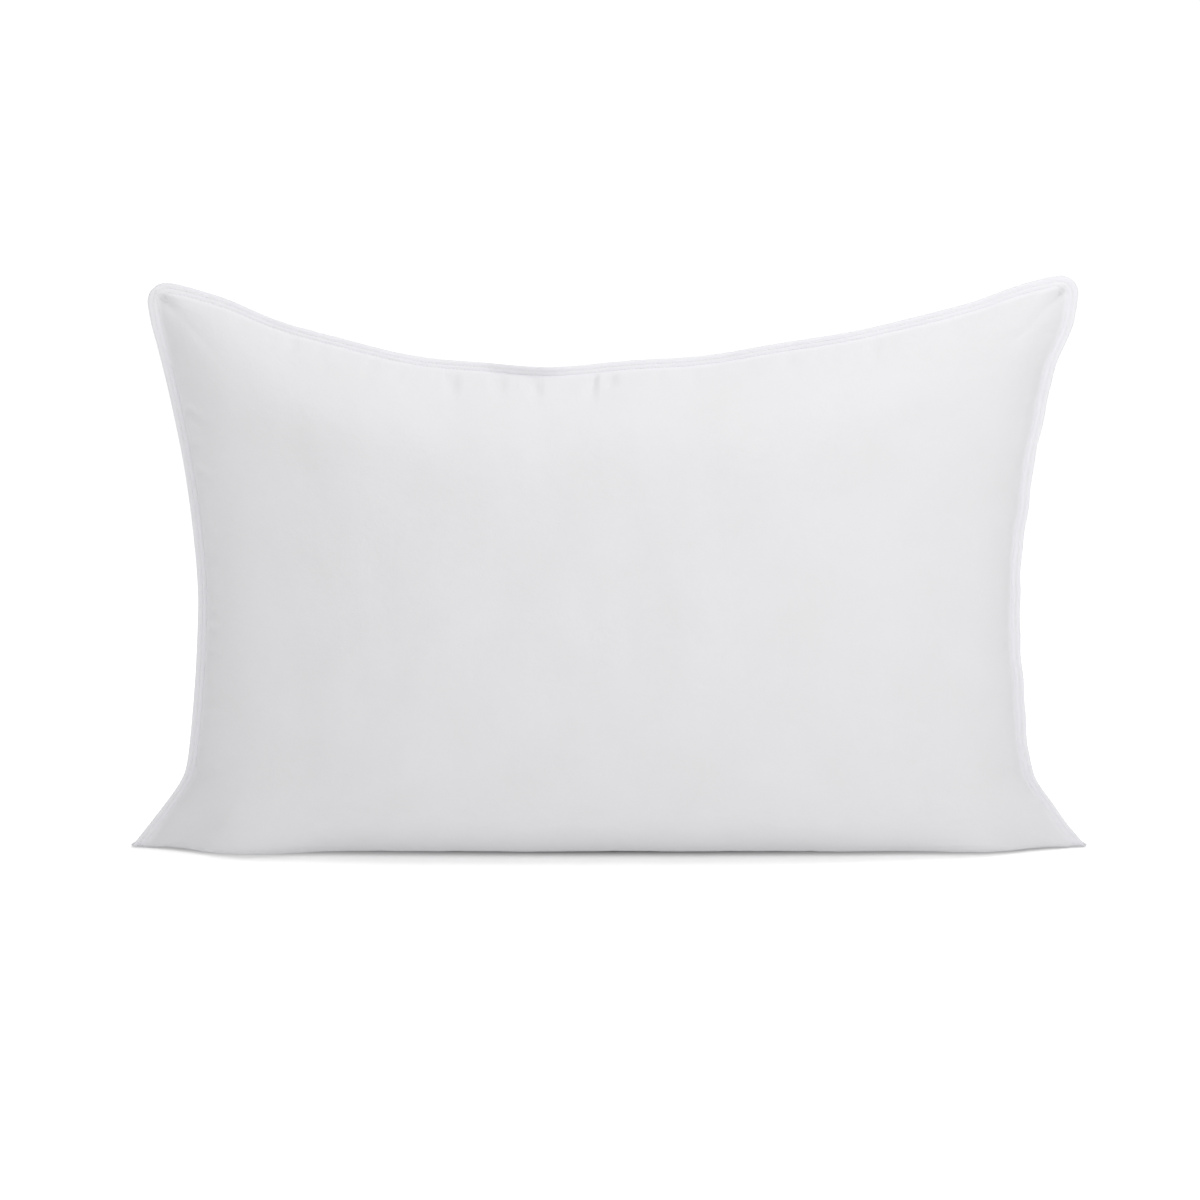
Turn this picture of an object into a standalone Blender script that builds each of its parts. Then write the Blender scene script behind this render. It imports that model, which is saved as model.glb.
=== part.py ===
"""Bed pillow, queen size, standing on one long edge.

Two rectangles of cover cloth are sewn together round a polyester fibre fill and topstitched
twice, which leaves a flat flange all round. The pillow stands on its lower long edge, whose
flange is turned back flat beneath it.

X runs along the long edge, Y through the thickness with the front at -Y, and Z up from the
floor. A place on the cloth is given in the flat cut: across from the middle, and up from the
lower edge. Every piece is built from rings that run round the cut, parallel with its edge.
"""

from math import cos, pi, radians, sin

import bmesh
import bpy
from mathutils import Vector

# The flat cut and its seams
CUT_WIDTH = 0.762
CUT_HEIGHT = 0.508
CORNER_RADIUS = 0.018
FLANGE_WIDTH = 0.0090
OUTER_ROW = 0.0040
CREASE_MARGIN = 0.0012
CLOSING_ROW = 0.0020
CLOSING_LENGTH = 0.160

# Cloth and thread
CLOTH = 0.0008
THREAD = 0.0005
GAP = 0.0003
FILL_CLEARANCE = 0.0005
FILL_STOP = 0.080
FILL_SLOPE = radians(60)
LABEL_CLEARANCE = 0.0008

# The stuffed shape
THICKNESS = 0.176
BASE_DEPTH = 0.130
WAIST_HEIGHT = 0.195
WAIST_PULL = 0.061
HIP_FLARE = 0.008
FOOT_FLARE = 0.045
FOOT_HEIGHT = 0.065
EAR_FLARE = 0.041
CORNER_TAKE_UP = 0.040
TOP_SAG = 0.068
SAG_PLACE = -0.19

# How the curves of that shape bend
FULLEST_SHARE = 0.33
BELLY_POWER = 0.8
HEEL_POWER = 3
SIDE_POWER = 4
SAG_POWER = 1.75
HIP_POWER = 1.5
EAR_POWER = 1.9
SIDE_KNEE = 0.012
MIDDLE_KNEE = 0.16

# The edge folded under the pillow
FOLD_MARGIN = 0.006
FOLD_RADIUS = 0.0035
LAP_MARGIN = 0.0055
LAP_RUN = 0.018

# The care label on the back
LABEL_WIDTH = 0.038
LABEL_LENGTH = 0.060
LABEL_CLOTH = 0.0003
LABEL_ROWS = 8
LABEL_COLUMNS = 4
LABEL_PROBE = 0.00075

# Fineness of the rings
LONG_STEPS = 16
SIDE_STEPS = 5
CORNER_STEPS = 4
CLOSING_STEPS = 8
RING_SHARES = (0.04, 0.10, 0.20, 0.34, 0.52, 0.70, 0.88)

# What follows from the sizes above
HALF_WIDTH = CUT_WIDTH / 2
INNER_ROW = FLANGE_WIDTH - CREASE_MARGIN
PANEL_HALF_WIDTH = HALF_WIDTH - FLANGE_WIDTH
PANEL_HEIGHT = CUT_HEIGHT - 2 * FLANGE_WIDTH
FOLD_UNDER = CORNER_RADIUS + FOLD_MARGIN
CORNER_TOP = CUT_HEIGHT - FOLD_UNDER - CORNER_TAKE_UP
PLY_OFFSET = (CLOTH + GAP) / 2
THREAD_OFFSET = PLY_OFFSET + CLOTH / 2 + GAP + THREAD / 2
PANEL_RISE = CLOTH + THREAD + 3 * GAP
PANEL_OFFSET = PLY_OFFSET + PANEL_RISE
SEAM_LIFT = THREAD_OFFSET + THREAD / 2
FLOOR = CLOTH / 2
FOLD_ARC = FOLD_RADIUS * pi / 2
FOLD_START = FOLD_UNDER + SEAM_LIFT + FOLD_RADIUS
FRONT = 1
BACK = -1


def clear_scene():
    for thing in list(bpy.data.objects):
        bpy.data.objects.remove(thing, do_unlink=True)


def cloth_material(name, colour, roughness):
    """A matt dyed cloth or thread."""
    material = bpy.data.materials.new(name)
    material.use_nodes = True
    shader = material.node_tree.nodes["Principled BSDF"]
    shader.inputs["Base Color"].default_value = (*colour, 1.0)
    shader.inputs["Roughness"].default_value = roughness
    shader.inputs["Metallic"].default_value = 0.0
    return material


def between(low, high, value):
    return max(low, min(high, value))


def mix(start, end, share):
    return start + (end - start) * share


def smooth_step(value):
    value = between(0.0, 1.0, value)
    return value * value * (3 - 2 * value)


# The seam: where the flat flange stands once the pillow is stuffed

def edge_top(across):
    """Height of the top edge, which sags between the two raised corners."""
    place = across / HALF_WIDTH
    reach = abs(place - SAG_PLACE) / (1 + SAG_PLACE if place < SAG_PLACE else 1 - SAG_PLACE)
    return CORNER_TOP - TOP_SAG * (1 - min(reach, 1.0) ** SAG_POWER)


def half_width(height):
    """Half the standing width, drawn in at the waist and flared at the foot and the ears."""
    height = max(height, 0.0)
    pull = WAIST_PULL - FOOT_FLARE * (1 - smooth_step(height / FOOT_HEIGHT))
    if height < WAIST_HEIGHT:
        pull -= HIP_FLARE * ((WAIST_HEIGHT - height) / WAIST_HEIGHT) ** HIP_POWER
    else:
        pull -= EAR_FLARE * ((height - WAIST_HEIGHT) / (CORNER_TOP - WAIST_HEIGHT)) ** EAR_POWER
    return HALF_WIDTH - pull


def seam_height(across, up):
    """Height in the upright seam plane. What lies below the floor is the strip that folds."""
    if up < FOLD_UNDER:
        return up - FOLD_UNDER
    return edge_top(across) * (up - FOLD_UNDER) / (CUT_HEIGHT - FOLD_UNDER)


def seam_point(across, up, offset):
    """A point of the flange, offset towards the front, with the lower strip turned back."""
    height = seam_height(across, up)
    x = across / HALF_WIDTH * half_width(height)
    centre = SEAM_LIFT + FOLD_RADIUS
    run = centre - height
    if run <= 0:
        return Vector((x, -offset, height))
    if run < FOLD_ARC:
        angle = run / FOLD_RADIUS
        reach = FOLD_RADIUS + offset
        return Vector((x, FOLD_RADIUS - reach * cos(angle), centre - reach * sin(angle)))
    return Vector((x, FOLD_RADIUS + run - FOLD_ARC, SEAM_LIFT - offset))


# The stuffed panels between the seams

CREASE_REACH = seam_point(0.0, FLANGE_WIDTH, 0.0).y
FLANGE_REACH = seam_point(0.0, 0.0, 0.0).y
LAP_HEIGHT = SEAM_LIFT + PANEL_OFFSET


def fullness(across):
    """Share of the full thickness: level over the middle, nothing at the side seams."""
    place = between(-1.0, 1.0, across / PANEL_HALF_WIDTH)
    return (1 - place ** SIDE_POWER) ** BELLY_POWER


def floor_share(side, across):
    """Share of the panel's height that lies on the floor."""
    resting = (BASE_DEPTH / 2 - PANEL_OFFSET + side * CREASE_REACH) / PANEL_HEIGHT
    folded = (FOLD_UNDER + SEAM_LIFT - FLANGE_WIDTH) / PANEL_HEIGHT
    return mix(folded, resting, fullness(across))


def belly(share):
    """How far the full panel swells above its resting strip, from the heel to the top seam."""
    heel = BASE_DEPTH / 2 - PANEL_OFFSET
    swell = THICKNESS / 2 - PANEL_OFFSET
    if share < FULLEST_SHARE:
        return mix(heel, swell, 1 - (1 - share / FULLEST_SHARE) ** HEEL_POWER)
    risen = (share - FULLEST_SHARE) / (1 - FULLEST_SHARE)
    return swell * (1 - risen ** 2) ** BELLY_POWER


def floor_level(side, y):
    """The floor, or for the back panel the top of the flange it lies over."""
    if side == FRONT:
        return FLOOR
    past_flange = smooth_step((y - FLANGE_REACH - LAP_MARGIN) / LAP_RUN)
    return mix(LAP_HEIGHT, FLOOR, past_flange)


def panel_point(side, across, up):
    """A point on the middle of a stuffed panel's cloth."""
    share = between(0.0, 1.0, (up - FLANGE_WIDTH) / PANEL_HEIGHT)
    full = fullness(across)
    resting = floor_share(side, across)
    risen = max(0.0, (share - resting) / (1 - resting))
    knee = mix(SIDE_KNEE, MIDDLE_KNEE, full)
    climb = risen ** 2 / (2 * knee) if risen < knee else risen - knee / 2
    climb /= 1 - knee / 2
    seam_run = max(0.0, SEAM_LIFT - seam_height(across, up))
    upright = smooth_step(climb * CORNER_TOP / FOLD_RADIUS)
    if share < resting:
        depth = share * PANEL_HEIGHT - side * CREASE_REACH
    else:
        depth = belly(risen)
    y = (1 - full) * seam_run - side * (full * depth + PANEL_OFFSET * upright)
    low = floor_level(side, y)
    z = mix(low, seam_height(across, CUT_HEIGHT - FLANGE_WIDTH), climb)
    x = across / HALF_WIDTH * half_width(z)
    return Vector((x, y, z))


# Rings round the cut

def lower_half(inset):
    """Places along the lower half of the cut, from mid left round to mid right."""
    radius = CORNER_RADIUS - inset
    side = HALF_WIDTH - inset
    turn = HALF_WIDTH - CORNER_RADIUS
    foot = FOLD_UNDER + FOOT_HEIGHT
    folds = [FOLD_START - FOLD_ARC, FOLD_START - FOLD_ARC / 2, FOLD_START]
    folds.append(mix(FOLD_START, foot, 0.5))
    climbs = folds + [mix(foot, CUT_HEIGHT / 2, step / SIDE_STEPS) for step in range(SIDE_STEPS)]
    corner = []
    for step in range(CORNER_STEPS + 1):
        angle = pi / 2 * step / CORNER_STEPS
        corner.append((turn + radius * sin(angle), CORNER_RADIUS - radius * cos(angle)))
    edge = [(mix(-turn, turn, step / LONG_STEPS), inset) for step in range(1, LONG_STEPS)]
    right = corner + [(side, up) for up in climbs]
    left = [(-across, up) for across, up in reversed(right)]
    ends = (-side, CUT_HEIGHT / 2), (side, CUT_HEIGHT / 2)
    return [ends[0]] + left + edge + right + [ends[1]]


def cut_ring(inset):
    """Places all round the cut at one distance from its edge."""
    lower = lower_half(inset)
    upper = [(across, CUT_HEIGHT - up) for across, up in reversed(lower[1:-1])]
    return lower + upper


def panel_rings(side):
    """Rings of a stuffed panel, from where it turns up at its crease in towards the middle."""
    crease = cut_ring(FLANGE_WIDTH)
    reach = HALF_WIDTH - CUT_HEIGHT / 2
    turn = [seam_point(*place, side * PANEL_OFFSET) for place in crease]
    for point in turn:
        point.z = max(point.z, FLOOR)
    rings = [turn]
    for share in RING_SHARES:
        ring = []
        for across, up in crease:
            inner = between(-reach, reach, across)
            ring.append(panel_point(side, mix(across, inner, share), mix(up, CUT_HEIGHT / 2, share)))
        rings.append(ring)
    return rings


# Making the objects

def add_band(mesh, outer, inner):
    """Join two closed rings with triangles, whose diagonals all lean the same way."""
    count = len(outer)
    for here in range(count):
        after = (here + 1) % count
        mesh.faces.new((outer[here], outer[after], inner[after]))
        mesh.faces.new((outer[here], inner[after], inner[here]))


def close_middle(mesh, ring):
    """Fill the last ring with triangles between its lower and upper halves."""
    half = len(ring) // 2
    mesh.faces.new((ring[0], ring[1], ring[-1]))
    for here in range(1, half - 1):
        mesh.faces.new((ring[here], ring[here + 1], ring[-here - 1]))
        mesh.faces.new((ring[here], ring[-here - 1], ring[-here]))
    mesh.faces.new((ring[half - 1], ring[half], ring[half + 1]))


def add_skin(mesh, rings):
    """Build one closed-over skin from its rings, and return its outer ring."""
    loops = [[mesh.verts.new(point) for point in ring] for ring in rings]
    for outer, inner in zip(loops, loops[1:]):
        add_band(mesh, outer, inner)
    close_middle(mesh, loops[-1])
    return loops[0]


def add_object(name, data, material, location=(0.0, 0.0, 0.0)):
    data.materials.append(material)
    thing = bpy.data.objects.new(name, data)
    thing.location = location
    bpy.context.scene.collection.objects.link(thing)
    return thing


def add_mesh(name, mesh, material, location=(0.0, 0.0, 0.0)):
    bmesh.ops.recalc_face_normals(mesh, faces=mesh.faces)
    data = bpy.data.meshes.new(name)
    mesh.to_mesh(data)
    mesh.free()
    data.shade_smooth()
    return add_object(name, data, material, location)


def thicken(thing, thickness):
    """Give an open sheet its cloth thickness, half to each side."""
    wall = thing.modifiers.new("cloth", "SOLIDIFY")
    wall.thickness = thickness
    wall.offset = 0.0


def add_panel(name, side, material):
    """One cut of cover cloth: its flange ply and its stuffed panel."""
    flange = []
    for inset in (0.0, FLANGE_WIDTH):
        flange.append([seam_point(*place, side * PLY_OFFSET) for place in cut_ring(inset)])
    mesh = bmesh.new()
    add_skin(mesh, flange + panel_rings(side))
    panel = add_mesh(name, mesh, material)
    thicken(panel, CLOTH)
    return panel


def cut_folded_corner(mesh, side):
    """Stop the fibre short of a lower corner, whose cover is folded flat under the pillow."""
    edge = Vector((side * (half_width(0.0) - FILL_STOP), 0.0, 0.0))
    facing = Vector((side * cos(FILL_SLOPE), 0.0, -sin(FILL_SLOPE)))
    everything = mesh.verts[:] + mesh.edges[:] + mesh.faces[:]
    cut = bmesh.ops.bisect_plane(mesh, geom=everything, plane_co=edge, plane_no=facing, clear_outer=True)
    rim = [piece for piece in cut["geom_cut"] if isinstance(piece, bmesh.types.BMEdge)]
    bmesh.ops.holes_fill(mesh, edges=rim)


def add_fill(material):
    """The fibre, filling the cover up to its inner faces."""
    mesh = bmesh.new()
    front = add_skin(mesh, panel_rings(FRONT))
    back = add_skin(mesh, panel_rings(BACK))
    add_band(mesh, front, back)
    bmesh.ops.recalc_face_normals(mesh, faces=mesh.faces)
    mesh.normal_update()
    inset = CLOTH / 2 + FILL_CLEARANCE
    square_corner = 2 ** 0.5
    moves = []
    for vert in mesh.verts:
        moves.append(vert.normal * inset * min(vert.calc_shell_factor(), square_corner))
    for vert, move in zip(mesh.verts, moves):
        vert.co -= move
    cut_folded_corner(mesh, 1)
    cut_folded_corner(mesh, -1)
    return add_mesh("fibre_fill", mesh, material)


def add_thread(name, points, closed, material):
    """One thread, laid along its row as a fine round cord."""
    data = bpy.data.curves.new(name, "CURVE")
    data.dimensions = "3D"
    data.bevel_depth = THREAD / 2
    data.bevel_resolution = 0
    data.use_fill_caps = not closed
    line = data.splines.new("POLY")
    line.points.add(len(points) - 1)
    for spot, point in zip(line.points, points):
        spot.co = (*point, 1.0)
    line.use_cyclic_u = closed
    return add_object(name, data, material)


def add_row(name, inset, offset, material):
    """A row of stitching that runs all round the pillow."""
    points = [seam_point(*place, offset) for place in cut_ring(inset)]
    return add_thread(name, points, True, material)


def add_closing_row(name, offset, material):
    """The row that shuts the stuffing mouth in the lower edge."""
    points = []
    for step in range(CLOSING_STEPS + 1):
        across = CLOSING_LENGTH * (step / CLOSING_STEPS - 0.5)
        points.append(seam_point(across, CLOSING_ROW, offset))
    return add_thread(name, points, False, material)


def label_line(across):
    """Points down the back panel's outer face, from the top crease, in one upright section."""
    top = CUT_HEIGHT - FLANGE_WIDTH
    stand_off = CLOTH / 2 + LABEL_CLEARANCE + LABEL_CLOTH / 2
    points = []
    for row in range(LABEL_ROWS + 1):
        up = top - LABEL_LENGTH * row / LABEL_ROWS
        here = panel_point(BACK, across, up)
        below = panel_point(BACK, across, up - LABEL_PROBE)
        slope = (below - here).normalized()
        outward = Vector((0.0, -slope.z, slope.y)).normalized()
        points.append(here + outward * stand_off)
    return points


def add_label(material):
    """The care label, hanging on the back from the top seam, where the edge sags lowest."""
    middle = SAG_PLACE * HALF_WIDTH
    mesh = bmesh.new()
    lines = []
    for column in range(LABEL_COLUMNS + 1):
        line = label_line(middle + LABEL_WIDTH * (column / LABEL_COLUMNS - 0.5))
        lines.append(line)
    hinge = lines[LABEL_COLUMNS // 2][0].copy()
    grid = [[mesh.verts.new(point - hinge) for point in line] for line in lines]
    for left, right in zip(grid, grid[1:]):
        for row in range(LABEL_ROWS):
            mesh.faces.new((left[row], right[row], right[row + 1], left[row + 1]))
    label = add_mesh("care_label", mesh, material, hinge)
    thicken(label, LABEL_CLOTH)
    return label


clear_scene()
cover = cloth_material("cover_cotton", (0.86, 0.86, 0.88), 0.85)
fibre = cloth_material("polyester_fibre", (0.90, 0.90, 0.89), 0.95)
thread = cloth_material("sewing_thread", (0.88, 0.88, 0.90), 0.60)
satin = cloth_material("label_satin", (0.90, 0.90, 0.91), 0.40)

add_panel("front_panel", FRONT, cover)
add_panel("back_panel", BACK, cover)
add_fill(fibre)
add_row("edge_seam_thread", -(GAP + THREAD / 2), 0.0, thread)
for face, side in (("front", FRONT), ("back", BACK)):
    add_row("outer_topstitch_" + face, OUTER_ROW, side * THREAD_OFFSET, thread)
    add_row("inner_topstitch_" + face, INNER_ROW, side * THREAD_OFFSET, thread)
    add_closing_row("closing_stitch_" + face, side * THREAD_OFFSET, thread)
add_label(satin)
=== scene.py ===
from math import cos, exp, pi, radians, sin

import bpy
import numpy as np
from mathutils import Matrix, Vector


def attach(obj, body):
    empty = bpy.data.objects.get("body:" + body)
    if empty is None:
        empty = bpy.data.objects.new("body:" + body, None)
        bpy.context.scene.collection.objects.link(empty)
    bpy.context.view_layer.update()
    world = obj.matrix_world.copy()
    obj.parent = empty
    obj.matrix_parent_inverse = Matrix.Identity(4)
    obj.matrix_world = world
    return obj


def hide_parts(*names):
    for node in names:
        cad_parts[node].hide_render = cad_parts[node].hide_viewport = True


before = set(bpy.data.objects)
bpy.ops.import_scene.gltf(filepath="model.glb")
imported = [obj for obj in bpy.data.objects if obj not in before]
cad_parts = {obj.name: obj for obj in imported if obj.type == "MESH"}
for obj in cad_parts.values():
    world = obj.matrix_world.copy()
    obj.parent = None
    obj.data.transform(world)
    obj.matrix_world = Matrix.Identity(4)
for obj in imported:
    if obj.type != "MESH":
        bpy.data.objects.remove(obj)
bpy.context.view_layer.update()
bpy.ops.object.select_all(action="DESELECT")


# ---------------------------------------------------------------------------------------------
# The seam line. Two cuts of cloth, rounded a little at their corners, are sewn together all
# round. Stuffed and stood on a long edge, the seam sags at the top, draws in at the waist and
# flares at the foot, where the lower edge is turned back flat on the floor behind the front.

CUT_WIDTH = 0.762
CUT_HEIGHT = 0.508
CORNER_RADIUS = 0.018
FLANGE_WIDTH = 0.0090
FOLD_UNDER = 0.024
FOLD_RADIUS = 0.0035
SEAM_LIFT = 0.0018
TOP_CORNER = 0.451
TOP_SAG = 0.073
TOP_RIPPLE = 0.0012
SAG_PLACE = -0.19
LEFT_SAG_POWER = 1.8
RIGHT_SAG_POWER = 1.97
EAR_BLUNT = 0.008
BLUNT_START = 0.88
LEFT_RISE = (0.0038, 0.79, 0.10)
RIGHT_RISE = (0.0034, 0.90, 0.07)
WAIST = 0.195
WAIST_PULL = 0.061
LOW_GIVE = 0.016
HIGH_GIVE = 0.045
FLARE_HEIGHT = 0.057
FLARE_SLOPE = 0.69
FLARE_KNEE = 0.011
EAR_HEIGHT = 0.405
EAR_RUN = 0.045
RIGHT_GIVE = 0.005
RIGHT_GIVE_HEIGHT = 0.365
SWAY_DEPTH = 0.020
UPRIGHT_START = 0.035
UPRIGHT_RUN = 0.05
TOP_LEAN = 0.45
LABEL_HOLD = 0.030

half_cut = CUT_WIDTH / 2


def soft_ramp(value, knee):
    """Nothing below zero, then a straight climb, with a rounded knee between them."""
    return (value + (value * value + knee * knee) ** 0.5) / 2


def top_edge(across):
    """Height of the upper edge at one place along it."""
    place = max(-1.0, min(1.0, across / half_cut))
    ripple = TOP_RIPPLE * sin(19 * place + 0.6)
    if place < SAG_PLACE:
        reach = (SAG_PLACE - place) / (1 + SAG_PLACE)
        sag = TOP_SAG * (1 - reach ** LEFT_SAG_POWER)
        blunt = EAR_BLUNT * max(0.0, (reach - BLUNT_START) / (1 - BLUNT_START)) ** 2
        lift, middle, width = LEFT_RISE
    else:
        reach = (place - SAG_PLACE) / (1 - SAG_PLACE)
        sag = TOP_SAG * (1 - reach ** RIGHT_SAG_POWER)
        blunt = 0.0
        lift, middle, width = RIGHT_RISE
    rise = lift * exp(-((reach - middle) / width) ** 2)
    return TOP_CORNER - sag + rise + ripple * (1 - reach) - blunt


def half_width(height, side):
    """Half the standing width: full at the foot, least at the waist, wider at the ears."""
    height = max(height, 0.0)
    pull = WAIST_PULL - LOW_GIVE * max(0.0, (WAIST - height) / WAIST) ** 1.4
    pull -= FLARE_SLOPE * soft_ramp(FLARE_HEIGHT - height, FLARE_KNEE)
    if height > WAIST:
        pull -= HIGH_GIVE * ((height - WAIST) / (TOP_CORNER - WAIST)) ** 1.7
        pull += EAR_BLUNT * max(0.0, (height - EAR_HEIGHT) / EAR_RUN) ** 2
    if side > 0:
        pull -= RIGHT_GIVE * min(1.0, max(0.0, (height - RIGHT_GIVE_HEIGHT) / EAR_RUN)) ** 1.5
        pull += 0.0004 * sin(height * 88) - 0.0003 * sin(height * 190 + 1.1)
    return half_cut - pull


def flange_sway(across, up):
    """How far the flange stands out of its plane: it waves at its edge and leans back on top."""
    depth = min(half_cut - abs(across), up, CUT_HEIGHT - up)
    loose = max(0.0, 1 - depth / SWAY_DEPTH)
    upright = max(0.0, min(1.0, (up - UPRIGHT_START) / UPRIGHT_RUN))
    sway = 0.0007 * sin(31 * across + 37 * up) + 0.0005 * sin(83 * across - 71 * up + 1.2)
    free = 1 - exp(-((across - SAG_PLACE * half_cut) / LABEL_HOLD) ** 4)
    lean = TOP_LEAN * free * max(0.0, up - (CUT_HEIGHT - FLANGE_WIDTH))
    return sway * loose * upright + lean


def seam_place(across, up, offset=0.0):
    """A place in the flat cut, in the stuffed pillow's seam plane. offset is towards the back."""
    if up < FOLD_UNDER:
        height = up - FOLD_UNDER
    else:
        height = top_edge(across) * (up - FOLD_UNDER) / (CUT_HEIGHT - FOLD_UNDER)
    x = across / half_cut * half_width(height, across)
    centre = SEAM_LIFT + FOLD_RADIUS
    run = centre - height
    quarter = FOLD_RADIUS * pi / 2
    if run <= 0:
        return Vector((x, offset + flange_sway(across, up), height))
    if run < quarter:
        angle = run / FOLD_RADIUS
        reach = FOLD_RADIUS - offset
        return Vector((x, FOLD_RADIUS - reach * cos(angle), centre - reach * sin(angle)))
    return Vector((x, FOLD_RADIUS + run - quarter, SEAM_LIFT + offset))


# ---------------------------------------------------------------------------------------------
# The stuffed shape. The front and back panels are held together along the crease inside the
# stitching, blown up by the fibre, and pressed flat where they meet the floor. Cut flat and
# filled to this depth, the cloth has more length than its seam, and gathers along it.

FRONT = -1
BACK = 1
STEP = 0.006
STUFFED_HALF = 0.084
ROUNDING = 0.8
PUFF = 0.0004
PRESSURE = 6.0
STRETCH_STIFFNESS = 30.0
SHEAR_STIFFNESS = 10.0
BEND_STIFFNESS = 0.4
DAMPING = 10.0
TOUCH = 0.001
SETTLE_FRAMES = 30
SMOOTH_REACH = 10
SMOOTH_WIDTH = 0.018
SEAM_HOLD = 0.060
SHOULDER = (0.10, 0.89, 0.14)
HEEL = (0.34, 0.04, 0.11)
FLANK = (0.30, 1.0, 0.13)
LOBES = ((0.020, -0.285, 0.045), (0.011, 0.290, 0.040))
LOBE_HEIGHT = 0.050
BACK_CREASE = 0.019
FLOOR_PRESS = (0.45, 0.0, 0.014)


def panel_place(column, row, columns, rows):
    """Where a grid corner lies in the flat cut, inside the crease and its rounded corners."""
    wide = half_cut - FLANGE_WIDTH
    high = CUT_HEIGHT / 2 - FLANGE_WIDTH
    radius = CORNER_RADIUS - FLANGE_WIDTH
    across = wide * (2 * column / columns - 1)
    up = high * (2 * row / rows - 1)
    over_x = (abs(across) - wide + radius) / radius
    over_y = (abs(up) - high + radius) / radius
    if over_x > 0 and over_y > 0:
        turned_x = over_x * (1 - over_y ** 2 / 2) ** 0.5
        turned_y = over_y * (1 - over_x ** 2 / 2) ** 0.5
        across += (turned_x - over_x) * radius * (1 if across > 0 else -1)
        up += (turned_y - over_y) * radius * (1 if up > 0 else -1)
    return across, up + CUT_HEIGHT / 2


def stuffed_place(across, up, face):
    """A first guess at a panel's place, from which the cloth settles."""
    share_x = min(1.0, abs(across) / (half_cut - FLANGE_WIDTH))
    share_y = (up - FLANGE_WIDTH) / (CUT_HEIGHT - 2 * FLANGE_WIDTH)
    full = (1 - share_x ** 4) ** ROUNDING
    bow = max(0.0, 1 - (2 * share_y - 1) ** 4) ** ROUNDING
    place = seam_place(across, up)
    place.y += face * STUFFED_HALF * full * bow
    return place


def make_cover_bag(columns, rows):
    """Both panels as one bag, closed round the crease. Also its flat cut, corner by corner."""
    corners = {}
    flat = []
    start = []
    for face in (FRONT, BACK):
        for row in range(rows + 1):
            for column in range(columns + 1):
                rim = row in (0, rows) or column in (0, columns)
                if rim and face == BACK:
                    corners[face, row, column] = corners[FRONT, row, column]
                    continue
                across, up = panel_place(column, row, columns, rows)
                corners[face, row, column] = len(flat)
                start.append(stuffed_place(across, up, face))
                flat.append((across, 0.0 if rim else face * PUFF, up))
    quads = []
    for face in (FRONT, BACK):
        for row in range(rows):
            for column in range(columns):
                around = [(row, column), (row, column + 1), (row + 1, column + 1), (row + 1, column)]
                quad = [corners[face, r, c] for r, c in around]
                quads.append(quad if face == FRONT else quad[::-1])
    mesh = bpy.data.meshes.new("cover_bag")
    mesh.from_pydata(start, [], quads)
    return mesh, flat, corners


def placed(mesh):
    """An object with a mesh's own name and shape, in the scene."""
    thing = bpy.data.objects.new(mesh.name, mesh)
    bpy.context.scene.collection.objects.link(thing)
    return thing


def settle_bag(mesh, flat):
    """Blow the bag up and press it to the floor. Gives back where each of its corners comes."""
    scene = bpy.context.scene
    bag = placed(mesh)
    seam = [index for index, place in enumerate(flat) if place[1] == 0.0]
    bag.vertex_groups.new(name="seam").add(seam, 1.0, "REPLACE")
    bag.shape_key_add(name="stuffed")
    cut = bag.shape_key_add(name="cut")
    for spot, place in zip(cut.data, flat):
        spot.co = place
    bpy.ops.mesh.primitive_plane_add(size=2.0, location=(0.0, 0.0, -TOUCH))
    ground = bpy.context.object
    ground.modifiers.new("ground", "COLLISION")
    ground.collision.thickness_outer = TOUCH
    ground.collision.cloth_friction = 20.0
    cloth = bag.modifiers.new("cloth", "CLOTH")
    settings = cloth.settings
    settings.quality = 6
    settings.mass = 0.15
    settings.tension_stiffness = STRETCH_STIFFNESS
    settings.compression_stiffness = STRETCH_STIFFNESS
    settings.shear_stiffness = SHEAR_STIFFNESS
    settings.bending_stiffness = BEND_STIFFNESS
    settings.tension_damping = DAMPING
    settings.compression_damping = DAMPING
    settings.shear_damping = DAMPING
    settings.air_damping = 4.0
    settings.use_pressure = True
    settings.uniform_pressure_force = PRESSURE
    settings.fluid_density = 0.0
    settings.vertex_group_mass = "seam"
    settings.pin_stiffness = 5.0
    settings.rest_shape_key = cut
    settings.effector_weights.gravity = 0.0
    cloth.collision_settings.use_collision = True
    cloth.collision_settings.distance_min = TOUCH
    cloth.collision_settings.use_self_collision = False
    cloth.point_cache.frame_start = 1
    cloth.point_cache.frame_end = SETTLE_FRAMES + 10
    for step in range(1, SETTLE_FRAMES + 1):
        scene.frame_set(step)
    depsgraph = bpy.context.evaluated_depsgraph_get()
    settled = bpy.data.meshes.new_from_object(bag.evaluated_get(depsgraph))
    scene.frame_set(1)
    places = np.array([spot.co for spot in settled.vertices])
    bpy.data.objects.remove(bag, do_unlink=True)
    bpy.data.objects.remove(ground, do_unlink=True)
    return places


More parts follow.
